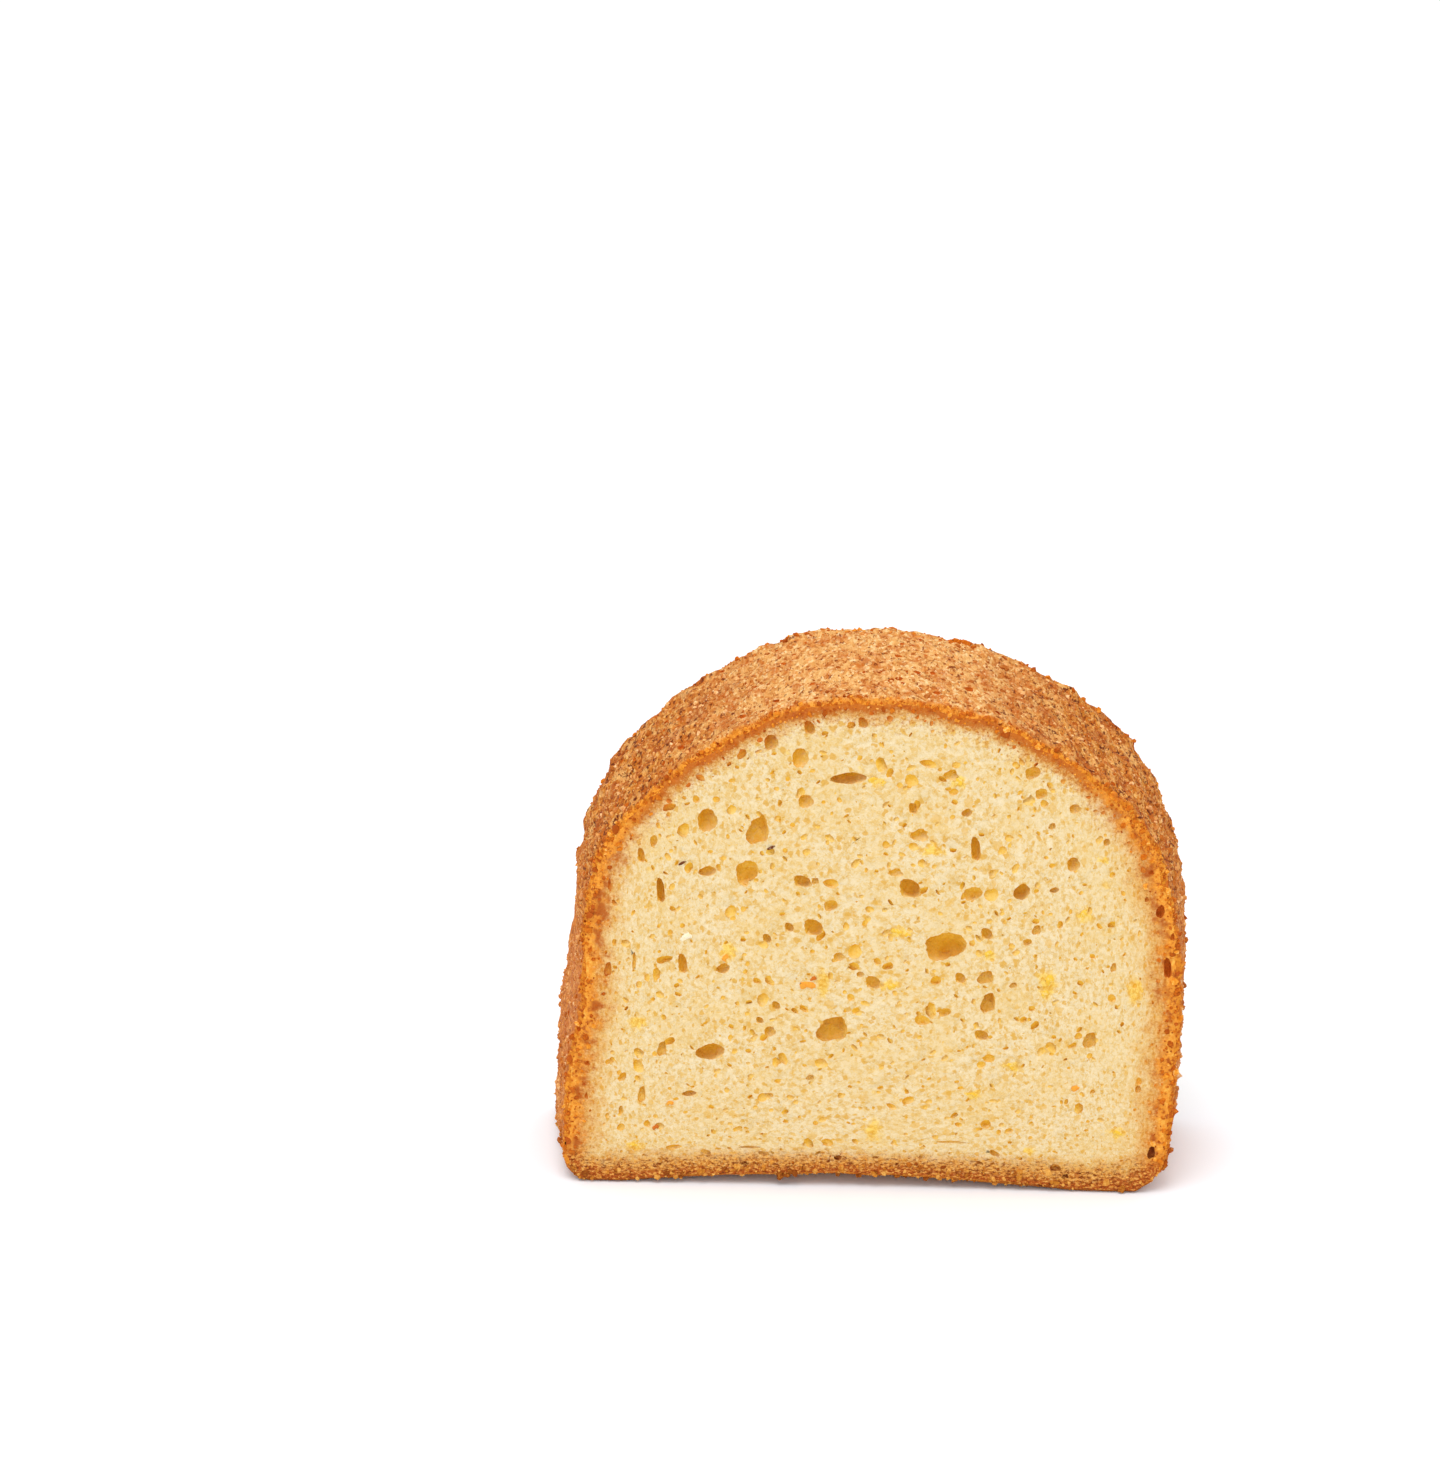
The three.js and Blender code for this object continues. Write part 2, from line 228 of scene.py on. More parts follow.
# %% Helpers for materials
class Paint(Wires):
    """A new material, with its shader ready and places on the object in millimetres."""

    def __init__(self, name, roughness, gloss):
        self.material = bpy.data.materials.new(name)
        self.material.use_nodes = True
        super().__init__(self.material.node_tree)
        self.shader = self.tree.nodes["Principled BSDF"]
        self.shader.inputs["Roughness"].default_value = roughness
        self.shader.inputs["Specular IOR Level"].default_value = gloss
        place = self.node("ShaderNodeTexCoord").outputs["Object"]
        scaled = self.node("ShaderNodeVectorMath", {0: place, "Scale": 1000.0}, operation="SCALE")
        self.place = scaled.outputs[0]
        self.x, self.y, self.z = self.split(self.place)

    def noise(self, size, detail=3.0, roughness=0.55, place=None, output=0):
        """Noise with patches of about size mm."""
        values = {"Vector": place or self.place, "Scale": 1 / size}
        values.update({"Detail": detail, "Roughness": roughness})
        return self.node("ShaderNodeTexNoise", values).outputs[output]

    def cells(self, size, place=None):
        """Cells of about size mm, as (distance to the middle, a number of its own)."""
        values = {"Vector": place or self.place, "Scale": 1 / size}
        made = self.node("ShaderNodeTexVoronoi", values)
        return made.outputs["Distance"], self.split(made.outputs["Color"])[0]

    def spots(self, size, widest, place=None, edge=0.05):
        """Round spots, one for each cell of size mm, with a radius up to widest cells."""
        distance, own = self.cells(size, place)
        inside = self.math("SUBTRACT", self.times(own, widest), distance)
        return self.between(inside, 0.0, edge)

    def outwards(self, band, most=1.0):
        """Rises from 0 to most over a band of distances from the middle of the slice."""
        return self.between(self.math("ABSOLUTE", self.x), *band, 0.0, most, True)

    def scorched(self, most):
        """Spots that the tin scorched, in the same places in every finish."""
        return self.between(self.noise(3.4, 2.0, 0.6), 0.52, 0.66, 0.0, most, True)

    def stored(self, name):
        return self.node("ShaderNodeAttribute", attribute_name=name).outputs["Fac"]

    def ramp(self, value, *stops):
        """Colours along a value, each stop as (place, web colour)."""
        made = self.node("ShaderNodeValToRGB", {0: value})
        elements = made.color_ramp.elements
        while len(elements) < len(stops):
            elements.new(1.0)
        for element, (position, code) in zip(elements, stops):
            element.position = position
            element.color = colour(code)
        return made.outputs[0]

    def blend(self, share, first, second, kind="MIX"):
        values = {0: share, 6: first, 7: colour(second) if isinstance(second, str) else second}
        return self.node("ShaderNodeMix", values, data_type="RGBA", blend_type=kind).outputs[2]

    def bump(self, height, reach, before=None):
        """A bump of reach mm."""
        values = {"Height": height, "Distance": reach * MM}
        if before:
            values["Normal"] = before
        return self.node("ShaderNodeBump", values).outputs[0]

    def finish(self, skin, normal):
        self.tree.links.new(skin, self.shader.inputs["Base Color"])
        self.tree.links.new(normal, self.shader.inputs["Normal"])
        print(self.material.name, "finish:", len(self.tree.nodes), "nodes")
        return self.material


# %% [markdown]
# ## Candied peel
# The batter holds a little candied citrus peel, chopped fine. On the cut it shows as bits of one or
# two millimetres, and most have stained the crumb round them yellow. The places of both are design
# values. The crumb's finish needs the stains next, and the bits are made from their list later.

# %% Where stains and peel lie on the front cut: x, z, width and height in mm, and the peel's tone
FLECK, WHITE, YELLOW, ORANGE, RED = 0.0, 0.25, 0.5, 0.75, 1.0
STAINS = [
    (1.3, 72.2, 3.4, 2.0), (14.4, 72.1, 2.6, 2.2), (3.9, 36.6, 3.0, 2.2), (29.0, 37.2, 3.6, 6.0),
    (34.7, 49.7, 2.6, 3.2), (19.5, 42.3, 2.8, 2.0), (5.3, 46.0, 4.4, 2.6), (23.7, 22.5, 3.2, 2.2),
    (17.7, 17.5, 3.0, 1.6), (40.8, 11.1, 3.4, 2.0), (-37.4, 6.9, 3.0, 1.8), (37.2, 59.6, 1.8, 1.6),
    (-22.0, 42.0, 3.0, 4.0), (10.5, 60.5, 5.0, 1.8), (-6.9, 36.8, 2.6, 6.0), (42.9, 36.5, 2.4, 5.0),
    (-37.0, 29.1, 3.0, 3.0), (1.6, 10.6, 3.0, 4.4), (26.8, 7.5, 2.4, 1.6),
]
PEEL = [
    (-9.6, 36.3, 2.2, 1.3, ORANGE), (-8.4, 37.6, 1.0, 0.8, RED), (34.0, 18.9, 1.4, 1.0, ORANGE),
    (-31.6, 14.7, 0.9, 0.8, ORANGE), (-22.6, 40.8, 1.0, 0.9, ORANGE), (-34.0, 10.2, 0.9, 0.7, RED),
    (0.7, 72.4, 1.5, 0.9, YELLOW), (2.4, 71.9, 0.9, 0.8, YELLOW), (14.2, 72.3, 1.3, 1.1, YELLOW),
    (4.2, 36.4, 1.5, 1.1, YELLOW), (29.3, 38.0, 1.2, 1.6, YELLOW), (28.6, 35.6, 1.0, 1.1, YELLOW),
    (34.5, 49.9, 1.1, 1.5, YELLOW), (19.4, 42.5, 1.2, 0.9, YELLOW), (4.6, 46.2, 1.6, 0.8, YELLOW),
    (6.6, 45.6, 0.9, 0.7, YELLOW), (23.5, 22.7, 1.4, 1.0, YELLOW), (17.5, 17.4, 1.5, 0.7, YELLOW),
    (40.9, 11.0, 1.3, 0.8, YELLOW), (-37.5, 7.0, 1.2, 0.7, YELLOW), (-28.8, 44.6, 1.9, 1.3, WHITE),
    (-29.4, 57.4, 1.4, 0.45, FLECK), (-15.4, 60.3, 1.2, 0.4, FLECK),
]
print(len(STAINS), "stains and", len(PEEL), "bits of peel")

# %% [markdown]
# ## Crumb finish
# Crumb is a foam: whitish where the walls of its bubbles stand up, ochre where we look down into one.
# The mesh has the bubbles that can be seen one by one, and the finish adds the thousands below half a
# millimetre. The pattern is pressed flat near the base and made narrow at the sides, as the real foam
# is. Towards the crust cream turns tan and orange-brown, in a thin line on top and in a broad ragged
# band at the sides, where hot tin touched it. The mesh stores how far each point lies under the crust.

# %% Foam
WHITE_BITS, CREAM, BUTTER, OCHRE = "#EDDAB4", "#E6CFA1", "#E0BD7A", "#D29E44"
p = Paint("crumb", roughness=0.8, gloss=0.2)
pressed = p.times(p.math("EXPONENT", p.math("DIVIDE", p.z, -12.0)), -14.0)
outward = p.math("POWER", p.math("DIVIDE", p.x, 75.0), 2.0)
narrowed = p.times(p.x, p.math("ADD", outward, 1.0))
foam_place = p.join(narrowed, p.y, p.math("ADD", p.z, pressed))
shake = p.vector("SUBTRACT", p.noise(0.8, 1.0, place=foam_place, output=1), (0.5, 0.5, 0.5))
foam_place = p.vector("ADD", foam_place, p.vector("MULTIPLY", shake, (1.2, 1.2, 1.2)))
threads = p.noise(0.9, 4.0, 0.7, foam_place)
foam = p.ramp(threads, (0.32, WHITE_BITS), (0.47, CREAM), (0.58, BUTTER), (0.74, OCHRE))
foam = p.blend(p.between(p.noise(6.0, 2.0), 0.4, 0.7, 0.0, 0.4), foam, "#E6C37C")
small_pores = p.spots(1.4, 0.48, foam_place, 0.14)
broad_pores = p.spots(2.8, 0.36, foam_place, 0.06)
foam = p.blend(p.times(broad_pores, 0.6), foam, "#E0AF50")
foam = p.blend(p.times(small_pores, 0.85), foam, "#DAA645")

# %% Stains round the peel
blurred = p.vector("SUBTRACT", p.noise(1.4, 2.0, 0.7, output=1), (0.5, 0.5, 0.5))
blurred = p.vector("ADD", p.place, p.vector("MULTIPLY", blurred, (3.5, 0.0, 3.5)))
stained = p.between(p.noise(3.0, 2.0), 0.68, 0.76, 0.0, 0.6)
for x, z, wide, high in STAINS:
    apart = p.vector("SUBTRACT", blurred, (x, FRONT_Y, z))
    apart = p.vector("LENGTH", p.vector("MULTIPLY", apart, (2 / wide, 0.3, 2 / high)))
    stained = p.math("MAXIMUM", stained, p.between(apart, 0.4, 1.2, 0.9, 0.0, True))
foam = p.blend(stained, foam, p.blend(p.between(threads, 0.42, 0.62), colour("#F3CE60"), "#DDA02C"))

# %% Walls of the bubbles: painted shade and light, deep ochre where a wall faces away from the lamp and paler where it faces up to it
wall = p.stored("wall")
under = p.stored("under_cut")
facing = p.node("ShaderNodeNewGeometry").outputs["Normal"]
towards_light = (-0.35, -0.35, 0.87)
# Painted light and shade: the wall's colour follows how far it faces the lamp
lit = p.vector("DOT_PRODUCT", facing, towards_light)
lit = p.math("ADD", lit, p.between(p.noise(0.5, 2.0), 0.3, 0.7, -0.2, 0.2))
wall_colour_and_painted_shade = p.ramp(
    p.between(lit, -0.5, 1.0), (0.0, "#E09A08"), (0.4, "#EAB02C"), (0.75, "#F2C662"), (1.0, "#F2D08A")
)
# Deeper under the cut the walls turn a fuller ochre: partly their own oily colour, partly painted shade
# deep in the hole
wall_colour_and_painted_shade = p.blend(p.between(under, 0.6, 2.0, 0.0, 0.7), wall_colour_and_painted_shade, "#E8A812")
foam = p.blend(p.times(wall, 0.95), foam, wall_colour_and_painted_shade)

# %% Toasting: a soft tint that runs deep into the crumb and leaves its pores to be seen
depth = p.stored("crust_depth")
at_side = p.outwards(SIDES)
at_base = p.between(p.z, 4.0, 8.0, 1.0, 0.0, True)
ragged = p.math("SUBTRACT", p.noise(2.2, 4.0, 0.75), 0.5)
unrest = p.between(depth, 0.0, 4.0, 1.2, 9.0)
shaken = p.math("ADD", depth, p.times(ragged, unrest))
share = p.between(shaken, 0.0, 8.0)
top = p.ramp(share, (0.0, "#BA682A"), (0.1, "#CC8440"), (0.19, "#EBC08A"), (0.38, "#FFFFFF"))
side = p.ramp(
    share, (0.0, "#E6A254"), (0.22, "#ECB070"), (0.42, "#F5D4A4"), (0.68, "#FDF3E2"), (1.0, "#FFFFFF")
)
low = p.ramp(
    share, (0.0, "#B4703C"), (0.16, "#D89A54"), (0.36, "#E8BC84"), (0.6, "#F6E0BC"), (0.8, "#FFFFFF")
)
toast = p.blend(at_base, p.blend(at_side, top, side), low)
skin = p.blend(1.0, foam, toast, "MULTIPLY")
grit = p.noise(0.5, 3.0, 0.7)
toasted = p.between(share, 0.25, 0.7, 1.0, 0.0)
skin = p.blend(p.times(p.between(grit, 0.53, 0.63, 0.0, 0.75), toasted), skin, "#B0601A")
skin = p.blend(p.times(p.between(grit, 0.36, 0.45, 0.6, 0.0), toasted), skin, "#F4CC88")

# %% Browning: the last two millimetres, crumbling, with scorched spots and burnt holes
clots = p.noise(1.2, 4.0, 0.7)
crumbling = p.blend(p.between(clots, 0.52, 0.64), colour("#EC962E"), "#AC5010")
crumbling = p.blend(p.between(clots, 0.34, 0.47, 0.9, 0.0), crumbling, "#FABC50")
crumbling = p.blend(p.math("MAXIMUM", at_base, p.math("SUBTRACT", 0.75, at_side)), crumbling, "#B4520E")
browned = p.between(at_side, 0.0, 1.0, 0.4, 0.9)
fading = p.between(at_side, 0.0, 1.0, 1.4, 2.5)
outer = p.between(shaken, browned, fading, 0.9, 0.0)
skin = p.blend(outer, skin, crumbling)
under_crust = p.between(depth, 0.4, 1.2, 0.0, 1.0)
not_deep = p.between(shaken, 2.0, 3.6, 1.0, 0.0)
skin = p.blend(p.times(p.scorched(0.9), under_crust, not_deep, at_side), skin, "#AE5416")
burnt_wall = p.times(wall, p.between(depth, 2.2, 4.2, 0.8, 0.0))
burnt = p.blend(p.between(p.z, 9.0, 13.0, 1.0, 0.0), colour("#D46C18"), "#7C2C08")
skin = p.blend(burnt_wall, skin, burnt)
crevices = p.noise(0.6, 3.0, 0.75, p.vector("MULTIPLY", p.place, (0.7, 1.0, 1.4)))
grainy_base = p.times(at_base, p.between(shaken, 3.0, 5.5, 1.0, 0.0))
skin = p.blend(p.times(p.between(crevices, 0.53, 0.61, 0.0, 0.95), grainy_base), skin, "#7A3806")
skin = p.blend(p.times(p.between(crevices, 0.38, 0.48, 0.85, 0.0), grainy_base), skin, "#F0B458")
crumb = p.finish(skin, p.bump(p.noise(0.9, 3.0, 0.75), 0.4))

# %% [markdown]
# ## Crust finish
# From close by, baked crust is sand: pale tan grains, with dark pins between them where small bubbles
# burst, and orange where it is thin. The pins sit in the pits that the bump sinks, and their dark colour
# is partly darker baking and partly painted shade. On the shoulders it is rougher, redder and darker.

# %% Sand, pins and the darker shoulders
p = Paint("crust", roughness=0.8, gloss=0.12)
shoulder = p.outwards(SHOULDERS)
drawn_out = p.vector("MULTIPLY", p.place, (1.0, 0.6, 1.0))
distance, own = p.cells(0.45, drawn_out)
sand = p.ramp(own, (0.0, "#C27432"), (0.3, "#E19D52"), (0.75, "#EEB772"), (1.0, "#FCD69C"))
red_sand = p.ramp(own, (0.0, "#A04A10"), (0.3, "#C4701C"), (0.7, "#D98A34"), (1.0, "#F4BC6C"))
skin = p.blend(shoulder, sand, red_sand)
clouds = p.noise(2.4, 3.0, 0.65, drawn_out)
skin = p.blend(p.between(clouds, 0.5, 0.64, 0.0, 0.75), skin, "#C66416")
skin = p.blend(p.between(clouds, 0.36, 0.46, 0.6, 0.0), skin, "#EEB46C")
baked_dark = p.times(p.between(p.noise(6.0, 2.0, 0.6), 0.5, 0.62, 0.0, 0.65), shoulder)
skin = p.blend(baked_dark, skin, "#AC4E14")
knots = p.noise(0.9, 4.0, 0.72, drawn_out)
pin_rim = p.between(shoulder, 0.0, 1.0, 0.58, 0.54)
pin_core = p.between(shoulder, 0.0, 1.0, 0.64, 0.61)
# Dark pins in the pits that the bump sinks: darker baked colour and painted shade
dark_pins_and_shade = p.between(knots, pin_rim, pin_core)
skin = p.blend(dark_pins_and_shade, skin, p.blend(shoulder, colour("#843A0E"), "#6C2A08"))
skin = p.blend(p.between(knots, 0.3, 0.42, 0.6, 0.0), skin, "#F6C27A")
lower_wall = p.between(p.z, 34.0, 60.0, 0.5, 0.0, True)
skin = p.blend(lower_wall, skin, "#DE8646")
torn = p.math("ADD", p.math("SUBTRACT", p.y, FRONT_Y), p.times(knots, 1.6))
torn_tint = p.ramp(own, (0.0, "#C05806"), (1.0, "#F49C28"))
skin = p.blend(p.between(torn, 1.0, 2.4, 0.9, 0.0, True), skin, torn_tint)
skin = p.blend(p.between(p.z, 0.5, 3.0, 0.75, 0.0, True), skin, "#8E4A18")
grain_bump = p.bump(distance, -0.2)
crust = p.finish(skin, p.bump(knots, -0.6, grain_bump))

# %% Finish of the loose grains: a tone of its own for each, and the scorched spots of the crumb below
p = Paint("grains", roughness=0.8, gloss=0.12)
tone = p.math("ADD", p.stored("tone"), p.between(p.noise(0.4, 1.0), 0.3, 0.7, 0.1, -0.3))
bright = p.ramp(
    tone, (0.0, "#A64C0C"), (0.25, "#C46210"), (0.6, "#DA7E1A"), (0.9, "#EE9F36"), (1.0, "#F6BC68")
)
dull = p.ramp(tone, (0.0, "#8A4510"), (0.4, "#C67C26"), (1.0, "#F0B65C"))
calm = p.ramp(tone, (0.0, "#AC5C20"), (0.3, "#D89048"), (0.7, "#ECB06C"), (1.0, "#FAD29C"))
shoulder = p.outwards(SHOULDERS, 0.8)
clouds = p.between(p.noise(2.6, 2.0, 0.65), 0.44, 0.6)
calm = p.blend(p.times(clouds, shoulder), calm, "#C06A1E")
at_side = p.outwards(SIDES)
bright = p.blend(p.times(p.scorched(0.75), at_side), bright, "#B8581A")
from_rim = p.math("ADD", p.between(p.y, FRONT_Y + 0.8, FRONT_Y + 2.0, -1.0, 0.0), 1.0)
from_rim = p.math("MINIMUM", from_rim, p.between(p.y, 11.0, 12.5, 1.0, 0.0))
skin = p.blend(from_rim, bright, calm)
skin = p.blend(p.between(p.z, 3.0, 7.0, 1.0, 0.0, True), skin, dull)
grain_finish = p.finish(skin, p.bump(p.noise(0.3, 1.0), 0.1))

# %% Finish of the peel: boiled in sugar, so it is smoother than the crumb
p = Paint("peel", roughness=0.6, gloss=0.15)
skin = p.ramp(
    p.math("ADD", p.stored("tone"), p.between(p.noise(0.5, 2.0), 0.3, 0.7, -0.08, 0.08)),
    (FLECK, "#6A3208"), (WHITE, "#F6EACC"), (YELLOW, "#E8BC3C"), (ORANGE, "#EC9A34"), (RED, "#C8681C"),
)
peel_finish = p.finish(skin, p.bump(p.noise(0.5, 1.0), 0.1))

# %% [markdown]
# ## The solid, sorted
# The solid holds three kinds of surface: crust, the two knife cuts, and the air holes in them. We
# sort its faces by kind, because each is finished in its own way. The cuts are flat, so a face that
# lies in one is easy to tell. A crust face is one that nothing hides from outside. The rest are
# holes, and we note where each one is. The work is done in millimetres, which are easier to read.

# %% Sort the faces of the solid
HOLE, CRUST, CUT = 0, 1, 2
HEART_Z = 35  # mm above the floor; outwards means away from here


def back_y(z):
    return BACK_Y + BACK_LEAN * z


def below_cut(point):
    """How far a point lies under the nearer cut."""
    return min(point.y - FRONT_Y, back_y(point.z) - point.y)


def corners(points):
    """The lowest and the highest corner of the box round some points."""
    lists = [[point[axis] for point in points] for axis in range(3)]
    return Vector(map(min, lists)), Vector(map(max, lists))


body = bmesh.new()
body.from_mesh(frame["nodes"]["cake_slice"].data)
bmesh.ops.scale(body, vec=(1000,) * 3, verts=body.verts)
bmesh.ops.remove_doubles(body, verts=body.verts, dist=0.001)
zone = body.faces.layers.int.new("zone")
LOW, HIGH = corners([v.co for v in body.verts])
solid_tree = BVHTree.FromBMesh(body)
for face in body.faces:
    middle = face.calc_center_median()
    outward = Vector((middle.x, 0, middle.z - HEART_Z)).normalized()
    if max(below_cut(v.co) for v in face.verts) < 0.01:
        face[zone] = CUT
    elif abs(face.normal.y) < 0.93 and not solid_tree.ray_cast(middle + outward * 0.01, outward)[0]:
        face[zone] = CRUST
for kind, label in enumerate(("hole", "crust", "cut")):
    print(label, "faces:", sum(face[zone] == kind for face in body.faces))


# %% Note each hole's box, then take the holes and the cuts away
def islands(faces):
    """Splits faces into groups that hang together, in the same order on every run."""
    left = dict.fromkeys(faces)
    while left:
        first = next(iter(left))
        del left[first]
        group, waiting = [], [first]
        while waiting:
            group.append(waiting.pop())
            for near in (g for e in group[-1].edges for g in e.link_faces):
                if near in left:
                    del left[near]
                    waiting.append(near)
        yield group


holes, spare = [], [face for face in body.faces if face[zone] == CUT]
for group in islands([face for face in body.faces if face[zone] == HOLE]):
    if not any(g[zone] == CRUST for f in group for e in f.edges for g in e.link_faces):
        holes.append(corners([v.co for f in group for v in f.verts]))
        spare += group
bmesh.ops.delete(body, geom=spare, context="FACES")
print(len(holes), "air holes noted;", len(body.faces), "crust faces stay")

# %% [markdown]
# ## Crust
# Crust is dry and grainy: sugar and crumb stand up from it by a tenth of a millimetre, and on the
# shoulders the batter tore as it rose. The solid only has the large waves. We split its crust faces
# and move the new points in and out with noise. They move across the loaf only, so both rims stay in
# their cuts. No point may leave the solid's box, because that is the largest that the slice may be.

# %% Finer crust with grain, crags and a crumbling rim
BASE_SHARE = 0.35  # the base lay flat in the tin, so it moves less
WORN_REACH = 1.2  # mm from a cut over which the rim is worn


def under_base(edge):
    flat = all(f.normal.z < -0.8 for f in edge.link_faces)
    return flat and edge.verts[0].co.z + edge.verts[1].co.z < 5


coarse = [edge for edge in body.edges if under_base(edge)]
bmesh.ops.subdivide_edges(
    body, edges=[e for e in body.edges if not under_base(e)], cuts=3, use_grid_fill=True
)
bmesh.ops.subdivide_edges(body, edges=[e for e in coarse if e.is_valid], cuts=1)
bmesh.ops.triangulate(body, faces=[face for face in body.faces if len(face.verts) > 3])
rim = {v for e in body.edges if len(e.link_faces) == 1 for v in e.verts}
inner = [v for v in body.verts if v not in rim]
bmesh.ops.smooth_vert(body, verts=inner, factor=0.5, use_axis_x=True, use_axis_z=True)
body.normal_update()


def relief(point, side):
    """Height of the crust over the smooth loaf, in mm. side is 1 where the wall is upright."""
    # The walls are smoothest low down, where they touched the tin.
    rough = side * min(1, max(0.3, (point.z - 25) / 25))
    grain = 0.26 * noise.noise(point * 0.6) + 0.2 * noise.noise(point * 1.2 + Vector((7, 1, 3)))
    lump = 0.25 * noise.noise(point * 0.24) + 0.95 * rough * noise.noise(point * 0.3)
    ridge = noise.ridged_multi_fractal(point * 0.16, 0.9, 2.1, 4, 1.0, 2.0)
    crag = 0.4 * rough * max(0, ridge - 1.1)
    chip = 0.12 + 0.3 * max(0, noise.noise(point * 0.8 + Vector((3, 9, 4))))
    worn = chip * max(0, 1 - below_cut(point) / WORN_REACH)
    return grain + lump - crag - worn


moves = []
for vert in body.verts:
    across = Vector((vert.normal.x, 0, vert.normal.z)).normalized()
    share = BASE_SHARE if across.z < -0.6 else 1
    moves.append(across * relief(vert.co, abs(across.x)) * share)
for vert, move in zip(body.verts, moves):
    vert.co += move
    vert.co.x = min(max(vert.co.x, LOW.x), HIGH.x)
    vert.co.z = min(max(vert.co.z, LOW.z), HIGH.z)
    if vert in rim and vert.co.y > 0:
        vert.co.y = back_y(vert.co.z)
body.normal_update()
crust_tree = BVHTree.FromBMesh(body)
print("crust faces:", len(body.faces))

# %% [markdown]
# ## Cut faces
# A knife leaves the crumb nearly flat. Browning runs from the crust into the crumb over a few
# millimetres, so the flat face gets a denser net of points there to carry that shade, and a wide one
# in the middle. Delaunay triangulation joins the rim and the net into well-shaped triangles.

# %% Close both cuts
NET = 1.3  # mm between points near the crust
ROW_STEP = 0.87  # of that between rows, so that the triangles are even
NET_FROM, NET_REACH = 0.55, 7.5  # mm from the crust: where the net starts, and where it turns wide


def close_cut(edges, plane, towards):
    """Fills the rim of one cut. plane gives y for each z, and towards is the side that it faces."""
    rim_points = list(dict.fromkeys(v for e in edges for v in e.verts))
    number = {v: i for i, v in enumerate(rim_points)}
    pairs = [[number[v] for v in e.verts] for e in edges]
    draw = random.Random(5)
    net = []
    for row in range(int((HIGH.z - LOW.z) / (NET * ROW_STEP))):
        for column in range(int((HIGH.x - LOW.x) / NET)):
            x = LOW.x + (column + 0.5 * (row % 2) + draw.uniform(-0.15, 0.15)) * NET
            z = LOW.z + (row * ROW_STEP + draw.uniform(-0.15, 0.15)) * NET
            far = crust_tree.find_nearest((x, plane(z), z))[3]
            if NET_FROM < far < NET_REACH or (far > NET_REACH and row % 4 == 0 and column % 4 == 0):
                net.append(Vector((x, z)))
    flat = [Vector((v.co.x, v.co.z)) for v in rim_points]
    points, _, triangles, sources, _, _ = delaunay_2d_cdt(flat + net, pairs, [], 1, 1e-6)
    made = [None] * len(points)
    for triangle in triangles:
        for i in triangle:
            if made[i] is None:
                old = [k for k in sources[i] if k < len(rim_points)]
                x, z = points[i]
                made[i] = rim_points[old[0]] if old else body.verts.new((x, plane(z), z))
        face = body.faces.new([made[i] for i in triangle])
        face.normal_update()
        face[zone] = CUT
        if face.normal.y * towards < 0:
            face.normal_flip()


open_edges = [e for e in body.edges if len(e.link_faces) == 1]
close_cut([e for e in open_edges if e.verts[0].co.y < 0], lambda z: FRONT_Y, -1)
close_cut([e for e in open_edges if e.verts[0].co.y > 0], back_y, 1)
not_closed = sum(len(e.link_faces) != 2 for e in body.edges)
print("closed body:", len(body.faces), "faces,", not_closed, "open edges")

# %% Hand the body over as a mesh
blank = bpy.data.meshes.new("blank")
body.to_mesh(blank)
body.free()
for name in ("custom_normal", "sharp_face", "sharp_edge"):
    if name in blank.attributes:
        blank.attributes.remove(blank.attributes[name])
cake = show("cake", blank)
print("blank:", len(blank.vertices), "points")

# %% [markdown]
# ## Air bubbles
# Baking powder fills the batter with bubbles, and the knife opens those in its way. They are lumpy
# balls, flat near the heavy base, upright along the cold tin wall, and there are far more small ones
# than large. A tree scatters them on the cuts and on the crust, and one boolean takes them all away.
# First come six kinds of ball, so that no two neighbours look alike. Their poles look along Y, so the
# knife crosses each in a clean ring, and the number of sides keeps thousands of them light.

# %% Tree: six kinds of lumpy bubble
KINDS = 6
bubble_kinds, given, result = geometry_tree(
    "bubble kinds", [("Sides", "Int", 8), ("Rings", "Int", 4), ("Lumps", "Float", 0.2)]
)
w = bubble_kinds
forms = []
for kind in range(KINDS):
    ball = w.node("GeometryNodeMeshUVSphere", {"Segments": given["Sides"], "Rings": given["Rings"]})
    ball = w.node("GeometryNodeTransform", {0: ball.outputs[0], "Rotation": (math.pi / 2, 0, 0)})
    place = w.node("GeometryNodeInputPosition").outputs[0]
    shifted = w.vector("ADD", place, (7.3 * kind, 2.1 * kind, 5.7 * kind))
    egg = w.node("ShaderNodeTexNoise", {"Vector": shifted, "Scale": 0.8, "Detail": 0.0})
    notches = w.node("ShaderNodeTexNoise", {"Vector": shifted, "Scale": 3.0, "Detail": 1.0})
    uneven = w.math("ADD", egg.outputs[0], w.times(notches.outputs[0], 0.4))
    swell = w.times(w.math("SUBTRACT", uneven, 0.7), 4.0, given["Lumps"])
    offset = w.node("ShaderNodeVectorMath", {0: place, "Scale": swell}, operation="SCALE")
    lumpy = w.node(
        "GeometryNodeSetPosition", {"Geometry": ball.outputs[0], "Offset": offset.outputs[0]}
    )
    forms.append(w.node("GeometryNodeGeometryToInstance", {0: lumpy.outputs[0]}).outputs[0])
w.tree.links.new(w.node("GeometryNodeJoinGeometry", {0: forms}).outputs[0], result)
print("kinds of bubble:", len(forms))

